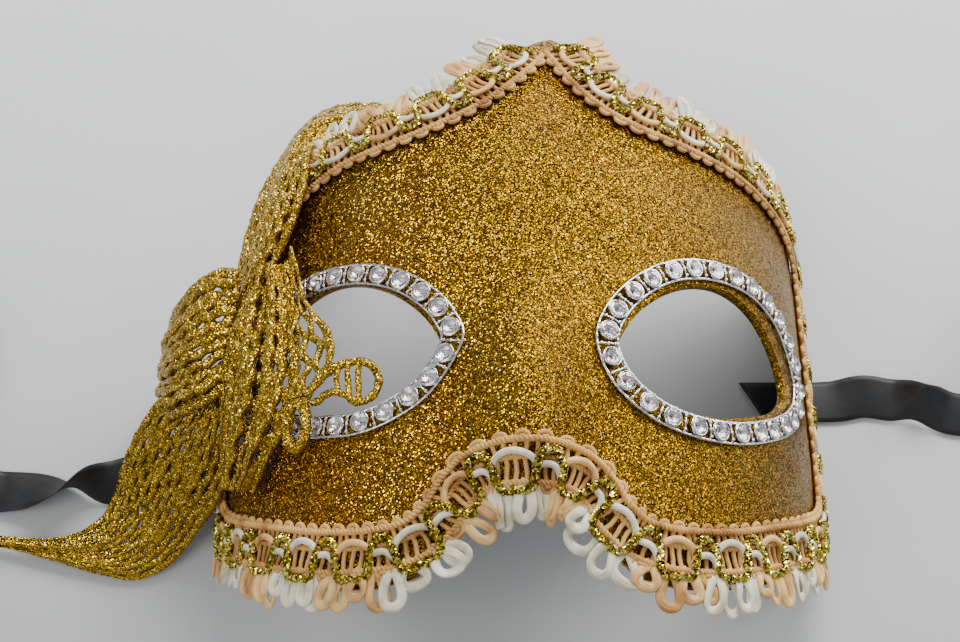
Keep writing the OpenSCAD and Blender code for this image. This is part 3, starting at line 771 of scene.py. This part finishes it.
def make_fringe(mats):
    """Clusters of loops along the brow and the lower edge, but none at the sides or under the bow."""
    parts = {"peach": [], "ivory": []}
    for k in range(WAVES):
        centre = (k + 0.5) * WAVE
        s, y = (float(np.interp(centre, HEADING_D, HEADING[:, i])) for i in (0, 1))
        if abs(s) > FRINGE_END or (s < UNDER_BOW and y > 0):
            continue
        close = np.linalg.norm(heading(centre + 1, 9, 1) - heading(centre - 1, 9, 1)) / 2
        color = "peach" if k % 2 == 0 else "ivory"
        count = 4 if close > 0.8 else 3
        for i in range(count):
            place = (i - (count - 1) / 2) / max(count - 1, 1)
            width = dice.uniform(3.4, 5.0) * min(1, max(close, 0.6))
            length = dice.uniform(5.5, 9.5)
            parts[color].append(fringe_loop(
                centre + place * CLUSTER_W + dice.normal() * 0.5, place * 2.2 + dice.normal() * 0.9,
                width, length, 0.5 + 0.6 * (i % 2) + dice.uniform(0, 0.5), dice.uniform(-0.7, 0.7)))
    build("fringe_peach", parts["peach"], mats["peach"], replaces=["fringe_peach_loops"])
    build("fringe_ivory", parts["ivory"], mats["ivory"], replaces=["fringe_ivory_loops"])


# ---------------------------------------------------------------- lace bow
def band(edge_a, edge_b, bulge, pleats, depth):
    """spot(u, v, n) gives points and normals of a gathered band between two edges."""
    a, b = smooth(edge_a, 200), smooth(edge_b, 200)
    t = np.linspace(0, 1, 201)

    def bare(u, v):
        p = np.stack([np.interp(u, t, a[:, k]) for k in range(3)], -1)
        q = np.stack([np.interp(u, t, b[:, k]) for k in range(3)], -1)
        return p + (q - p) * v[..., None]

    def spot(u, v, n=0.0):
        e = 0.01
        along = bare(np.minimum(u + e, 1), v) - bare(np.maximum(u - e, 0), v)
        across = bare(u, v + e) - bare(u, v - e)
        normal = unit(np.cross(along, across))
        wave = depth * (np.sin(TURN * pleats * v + 3 * u) + 0.5 * np.sin(TURN * 1.7 * pleats * v - 5 * u))
        swell = 4 * bulge * v * (1 - v) + wave + n
        return bare(u, v) + normal * swell[..., None], normal

    middle = bare(t, np.full(201, 0.5))
    width = float(np.linalg.norm(bare(t, np.zeros(201)) - bare(t, np.ones(201)), axis=1).mean())
    widths = np.linalg.norm(a - b, axis=1)
    return spot, float(reach(middle)[-1]), width, lambda u: np.interp(u, t, widths)


def yarn(line, up, thick):
    """One rough glittered yarn of the lace."""
    bumps = np.convolve(dice.normal(size=len(line) + 2), np.ones(3) / 3, "valid")
    thick = np.broadcast_to(thick, len(line))
    line = line + 0.07 * dice.normal(size=line.shape)
    return tube(line, thick * (1 + 0.16 * bumps), 0.7 * thick * (1 + 0.16 * bumps), 7, up)


def make_lace(name, node, edge_a, edge_b, mats, rows, cell=6.5, bulge=0.0, pleats=2.0, depth=0.4,
              fill=0.52, sway=0.15):
    """Lace: thick yarns that sway together and apart, with slits where they part.
    cell is the length of a slit and its end."""
    spot, length, width, width_at = band(edge_a, edge_b, bulge, pleats, depth)
    cells = max(2, round(length / cell))
    cell, row_w = length / cells, width / rows
    slits = []
    x = np.linspace(-0.44, 0.44, 7)
    for r in range(rows):
        for c in range(cells):
            half = row_w * (0.5 + sway * np.cos(TURN * x) - 0.8 * fill)
            half = np.maximum(half * (1 - (x / 0.45) ** 4), 0.08)
            middle = (c + (0.75 if r % 2 == 0 else 0.25)) * cell + dice.normal() * 0.2
            if dice.random() < 0.12 or middle - 0.45 * cell < 0.6 or middle + 0.45 * cell > length - 0.6:
                continue
            ring = np.concatenate([np.stack([x, -half], 1), np.stack([x, half], 1)[::-1]])
            slits.append(ring * [cell, 1] + [middle, (r + 0.5) * row_w])
    outline = even([[0, 0], [length, 0], [length, width], [0, width]], 0.9, True)
    flat, triangles = region(outline, slits, 1.0)
    u, v = flat[:, 0] / length, flat[:, 1] / width
    top = above(spot(u, v, 0.25 + 0 * u)[0], 0.9)
    bottom = above(spot(u, v, -0.25 + 0 * u)[0], 0.3)
    cloth = build(name, [solid_sheet(top, bottom, triangles)], mats["lace"], replaces=[node])
    yarns = []
    for r in range(rows + 1):
        edge = r in (0, rows)
        u = np.linspace(0.0, 1.0, max(12, int(length / 0.55)))
        side = 1 if r % 2 == 0 else -1
        swing = 0 if edge else side * sway * np.sin(TURN * cells * u)
        line, up = spot(u, np.clip((r + swing) / rows, 0, 1), np.full(len(u), 0.2))
        thick = np.clip(fill * width_at(u) / rows, 0.3, 1.5) * (1.1 if edge else 1.0)
        yarns.append(yarn(above(line, 1.2), up, thick))
    yarns = build(name + "_yarns", yarns, mats["lace"])


def corded(name, node, runs, mats):
    """An openwork end of the lace, drawn by thick yarns: each run is (points, closed, radius)."""
    parts = []
    for points, closed, thick in runs:
        points = points + points[:1] if closed else points
        line = even(smooth(points, 80), 0.6)
        parts.append(yarn(line, (0.1, -0.4, 1.0), thick))
    build(name, parts, mats["lace"], replaces=[node])


# The two edges of each lace piece, and the yarns of the two openwork ends
UPPER_LOW = [[-79.5, 3, 24], [-77, 12, 28], [-76, 20, 29.5], [-75, 30, 31], [-73.3, 40, 31.5],
             [-71, 49, 30.5], [-67.7, 59, 28], [-63.5, 69, 25], [-59, 77, 23.5], [-52.5, 80.5, 25.5],
             [-45, 78, 31.5], [-38, 74, 37]]
UPPER_HIGH = [[-74, 3, 39], [-71, 9, 42.5], [-68, 14.5, 45.5], [-64.5, 19, 48.5], [-62, 24, 51],
              [-60, 29, 52.6], [-58.6, 34, 53.6], [-57.5, 39, 53.8], [-57.3, 44, 52.5],
              [-57.5, 49, 50.3], [-56.7, 54.5, 47], [-53, 58.5, 44.3], [-47.5, 61, 43.5], [-40, 62, 45]]
BACK_BACK = [[-74, 17, 43], [-79, 18.5, 41.5], [-84, 17, 39], [-88.5, 15, 34.5], [-92.5, 13, 28],
             [-95, 12, 20], [-93, 10, 11], [-88, 8, 8]]
BACK_FRONT = [[-73, -12, 42], [-80, -17, 41], [-85, -18, 38.5], [-90, -18, 33.5], [-94, -14, 26],
              [-96, -9, 18], [-93.5, -4, 11], [-88, -2, 8]]
TAIL_OUTER = [[-84, -12, 36], [-89, -13, 34], [-95, -14, 29], [-102, -19.5, 20], [-106, -25, 13],
              [-108.5, -31, 8], [-112.5, -37, 5], [-119, -40.7, 3.6], [-128, -42, 3.1], [-140, -41.2, 3]]
TAIL_INNER = [[-74, -20, 37], [-75, -28, 32], [-77, -33.5, 25], [-81, -37, 17], [-85, -39.5, 11],
              [-89.5, -44, 6.5], [-95, -49, 3.6], [-103, -52, 2.2], [-113, -50.5, 1.8],
              [-126, -47, 1.6], [-140, -43, 1.4]]
FOLD_OUTER = [[-66.5, 15, 47.5], [-70.5, 8, 46], [-73, 0, 44.8], [-74.5, -9, 43], [-75, -18, 39.5],
              [-75.5, -28, 34.5], [-75, -37, 31]]
FOLD_INNER = [[-61.5, 16, 51.5], [-58.5, 5, 54.5], [-57, -5, 56], [-56.5, -14, 56.8], [-57, -22, 56],
              [-59.5, -29, 53.3], [-63.5, -34.5, 48.5], [-67.5, -41.5, 40.5]]
SMALL_OUTER = [[-59.5, 20.5, 52.5], [-57.3, 13.5, 54], [-56, 7.5, 55.3], [-54, 2, 57.3],
               [-51.5, -3, 60], [-48.7, -7, 61.8], [-47.2, -11.5, 62.8], [-47.3, -16.5, 62.8],
               [-49, -21, 61.8], [-53, -24, 60]]
SMALL_INNER = [[-61, 16, 51.5], [-60, 9.5, 53.5], [-59, 3, 55.3], [-58, -3.5, 56.8], [-57, -10, 58],
               [-56, -15.5, 58.7], [-55.5, -20, 58.7], [-56, -24, 58]]
SCALLOP_RING = [[-53, -25.5, 58.5], [-50, -25.7, 59.3], [-48, -24.3, 60], [-46, -23.5, 60.5],
                [-43, -24.5, 61], [-40.5, -26.2, 61], [-37.5, -25.7, 61], [-35.5, -23.5, 61],
                [-35, -20, 61], [-36.5, -17, 61], [-39.5, -15.6, 61], [-42.5, -16, 61],
                [-45.5, -17, 61], [-47.5, -18.7, 61], [-50, -21, 60.5]]
SCALLOP_BARS = [[[-44.7, -16.8, 61], [-45.2, -20, 61.3], [-44.4, -24, 60.8]],
                [[-42.8, -16, 61], [-42.5, -20, 61.4], [-41.8, -25.2, 61]],
                [[-40, -15.8, 61], [-40, -20, 61.4], [-39.7, -26, 61]]]
HANGING_RING = [[-55, -25, 58], [-53, -26.7, 58.3], [-52.3, -30, 58], [-52.6, -33.5, 57],
                [-54, -36.2, 56], [-56, -35.3, 55.5], [-57, -32, 56], [-56.7, -28, 57.2]]


WRAP_R = 4.2
UNDER_WRAP = 0.5 + 0.3 + 3 + 0.3      # the glitter coat, a gap, the glue pad and a gap


def make_bow(mats):
    make_lace("lace_upper_loop", "bow_upper_loop", UPPER_LOW, UPPER_HIGH, mats, 10, bulge=-3)
    make_lace("lace_back_loop", "bow_back_loop", BACK_BACK, BACK_FRONT, mats, 11, bulge=1.5,
              pleats=3.5)
    make_lace("lace_tail", "bow_tail", TAIL_INNER, TAIL_OUTER, mats, 12, cell=7.5, bulge=-1.5)
    make_lace("lace_front_fold", "bow_front_fold", FOLD_INNER, FOLD_OUTER, mats, 8, bulge=-2.5,
              pleats=2.6, depth=1.0)
    make_lace("lace_small_loop", "bow_small_loop", SMALL_OUTER, SMALL_INNER, mats, 3, 9.0,
              bulge=0.6, depth=0.25, fill=0.30, sway=0.26)
    ring = [(SCALLOP_RING, True, 1.0)] + [(bar, False, 0.75) for bar in SCALLOP_BARS]
    corded("lace_eye_scallop", "bow_eye_scallop", ring, mats)
    corded("lace_hanging_loop", "bow_hanging_loop", [(HANGING_RING, True, 1.35)], mats)
    points, faces, lay = lathe([(0.01, -5.5), (WRAP_R, -5.5), (0.8 * WRAP_R, 0), (WRAP_R, 5.5),
                                (0.01, 5.5)], 32)
    wrap = (points[:, [2, 1, 0]], [f[:, ::-1] for f in faces], lay)
    build("lace_center_wrap", [put(wrap, -96, -10, UNDER_WRAP + WRAP_R, (0, 1))],
          mats["lace"], replaces=["bow_center_wrap"])
    dress("bow_glue_pad", mats["glue"])


# ---------------------------------------------------------------- ties
RIBBON_W = 12.0
RIBBON_T = 0.34
RIBBON_LIFT = 0.75          # height of the centreline where the ribbon lies flat
ROLL_PITCH = 5.2            # how much each turn of the roll is smaller than the last
# Route in metres from the glued end to where the roll begins, and the ribbon's lean there, degrees
LEFT_ROUTE = [[-0.066, -0.022], [-0.078, -0.022], [-0.089, -0.022], [-0.097, -0.0222],
              [-0.105, -0.024], [-0.113, -0.0265], [-0.123, -0.028], [-0.133, -0.028],
              [-0.143, -0.0278], [-0.153, -0.0275], [-0.163, -0.0275], [-0.173, -0.0275],
              [-0.182, -0.0275]]
LEFT_LEAN = [0, 0, 0, -8, -20, -35, -115, -160, -180, -225, -265, -270, -270]
RIGHT_ROUTE = [[0.066, -0.001], [0.078, -0.001], [0.089, -0.001], [0.097, -0.0002],
               [0.105, -0.001], [0.112, -0.003], [0.121, -0.005], [0.130, -0.006],
               [0.139, -0.0075], [0.149, -0.009], [0.158, -0.0095], [0.168, -0.0095]]
RIGHT_LEAN = [0, 0, 5, 22, 15, 55, 15, 20, 50, 80, 90, 90]
TIE_LENGTH = 0.47           # metres


def tie_path(route, lean, coil_centre, spin):
    """The tie's centreline on the table and its lean, put away in a loose roll at the end."""
    line = smooth(np.array(route) * 1000, 160)
    lean = smooth([[a, 0] for a in lean], 160)[:, 0]
    far = reach(line)
    left = TIE_LENGTH * 1000 - far[-1]
    start = math.atan2(line[-1][1] - coil_centre[1], line[-1][0] - coil_centre[0])
    r0 = float(np.linalg.norm(line[-1] - coil_centre))
    turns = np.linspace(0, 3.2, 400)
    radius = r0 - ROLL_PITCH * turns
    angle = start + spin * TURN * turns
    roll = np.stack([coil_centre[0] + radius * np.cos(angle), coil_centre[1] + radius * np.sin(angle)], 1)
    roll = roll[reach(roll) <= left]
    full = np.concatenate([line[:-1], roll])
    lean = np.concatenate([lean[:-1], np.full(len(roll), lean[-1])])
    spread = reach(full)
    t = np.linspace(0, spread[-1], 330)
    full = np.stack([np.interp(t, spread, full[:, k]) for k in (0, 1)], 1)
    return full, np.interp(t, spread, lean)


def make_tie(side, route, lean, coil_centre, spin, mats):
    """One ribbon, from its glued end over the table into its roll, in one piece."""
    flat, lean = tie_path(route, lean, np.array(coil_centre), spin)
    lean = np.radians(lean)
    high = RIBBON_LIFT + RIBBON_W / 2 * np.abs(np.sin(lean))
    line = np.column_stack([flat, high])
    way = ahead(flat)
    way = np.column_stack([way, np.zeros(len(way))])
    level = np.stack([-way[:, 1], way[:, 0], 0 * way[:, 0]], 1)
    wide = level * np.cos(lean)[:, None] + np.array([0, 0, 1]) * np.sin(lean)[:, None]
    thick = np.cross(way, wide)
    v = np.linspace(-1, 1, 9)
    cup = 0.35 * (1 - v**2)
    fade = np.clip(1 - reach(flat) / 6, 0, 1)[:, None]
    body = (line[:, None] + wide[:, None] * v[None, :, None] * RIBBON_W / 2
            + thick[:, None] * cup[None, :, None]
            - way[:, None] * (fade * v[None, :] * 3.2 * (1 if side == "right" else 0.4))[..., None])
    top = body + thick[:, None] * RIBBON_T / 2
    under = body - thick[:, None] * RIBBON_T / 2
    ring = np.concatenate([top, under[:, ::-1]], 1)
    ring = above(ring, 0.25)
    m, sides = ring.shape[:2]
    i, k = np.arange(m - 1)[:, None], np.arange(sides)[None]
    q = (k + 1) % sides
    quads = np.stack([i * sides + k, (i + 1) * sides + k, (i + 1) * sides + q, i * sides + q], -1)
    ends = np.array([np.arange(sides), (m - 1) * sides + np.arange(sides)[::-1]])
    along = np.repeat(reach(flat), sides)
    lay = np.stack([along, np.tile(np.concatenate([v, v[::-1]]), m) * 3, np.zeros(m * sides)], 1)
    body_name = f"{side}_tie"
    piece = build(f"{side}_ribbon", [(ring.reshape(-1, 3), [quads.reshape(-1, 4), ends], lay)],
                  mats["ribbon"], body=body_name)
    piece.parent = None     # blend works on a mesh with no parent
    del piece["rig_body"]
    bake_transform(piece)
    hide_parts(f"{side}_tie_tab", f"{side}_tie_ribbon", f"{side}_tie_coil")
    dress(f"{side}_tie_glue", mats["glue"])


# ---------------------------------------------------------------- floor and light
def make_floor():
    """The cloth: plain and pale, with painted shade that makes it greyer towards the camera, standing in
    for the falloff of the light from the back.
    """
    mesh = bpy.data.meshes.new("floor")
    size = 4.0
    mesh.from_pydata([(-size, -size, 0), (size, -size, 0), (size, size, 0), (-size, size, 0)], [],
                     [(0, 1, 2, 3)])
    floor = bpy.data.objects.new("floor", mesh)
    bpy.context.scene.collection.objects.link(floor)
    floor.location = (0, 0, -0.0001)
    material, tree, bsdf = shader("floor_cloth")
    where = place_of(tree)
    noise = add(tree, "ShaderNodeTexNoise", {"Vector": where, "Scale": 9.0, "Detail": 2.0})
    # Painted shade: the colour darkens with y towards the camera; the noise is the cloth's own uneven
    # tone.
    depth = add(tree, "ShaderNodeSeparateXYZ", {0: where}).outputs[1]
    depth = add(tree, "ShaderNodeMath", {0: depth, 1: 1.6, 2: 0.22}, operation="MULTIPLY_ADD")
    depth = add(tree, "ShaderNodeMath", {0: noise.outputs["Fac"], 1: 0.25, 2: depth.outputs[0]},
                operation="MULTIPLY_ADD", use_clamp=True)
    color = ramp(tree, depth.outputs[0], [(0.0, (0.36, 0.36, 0.35)), (0.45, (0.68, 0.69, 0.70)),
                                          (0.9, (0.93, 0.94, 0.96))])
    join(tree, bsdf.inputs["Base Color"], color)
    bsdf.inputs["Roughness"].default_value = 0.9
    mesh.materials.append(material)


def area_light(name, place, aim, size, power, color):
    data = bpy.data.lights.new(name, "AREA")
    data.shape = "DISK"
    data.size = size
    data.energy = power
    data.color = color
    light = bpy.data.objects.new(name, data)
    bpy.context.scene.collection.objects.link(light)
    light.location = place
    light.rotation_euler = (Vector(aim) - Vector(place)).to_track_quat("-Z", "Y").to_euler()


def make_lights():
    world = bpy.data.worlds.new("studio")
    bpy.context.scene.world = world
    world.use_nodes = True
    background = world.node_tree.nodes["Background"]
    background.inputs["Color"].default_value = (0.80, 0.85, 0.92, 1)
    background.inputs["Strength"].default_value = 0.58
    area_light("window", (0.25, 1.00, 0.85), (0.05, 0.12, 0), 0.8, 23, (1.0, 0.99, 0.97))
    area_light("backdrop", (0.95, 0.75, 0.40), (0.12, 0.16, 0), 0.6, 12, (0.98, 0.99, 1.0))
    area_light("ceiling", (-0.7, -0.5, 1.0), (0, 0, 0), 0.8, 5, (1.0, 0.98, 0.95))


# ---------------------------------------------------------------- everything
make_camera()
materials = make_materials()
make_tie("left", LEFT_ROUTE, LEFT_LEAN, (-182, 4), -1, materials)
make_tie("right", RIGHT_ROUTE, RIGHT_LEAN, (168, 22), 1, materials)
make_floor()
make_lights()
make_shell(materials)
make_banding("right", RIGHT_RING, materials)
make_banding("left", LEFT_RING, materials)
make_heading(materials)
make_metal_cord(materials)
make_arcs(materials)
make_fringe(materials)
make_bow(materials)
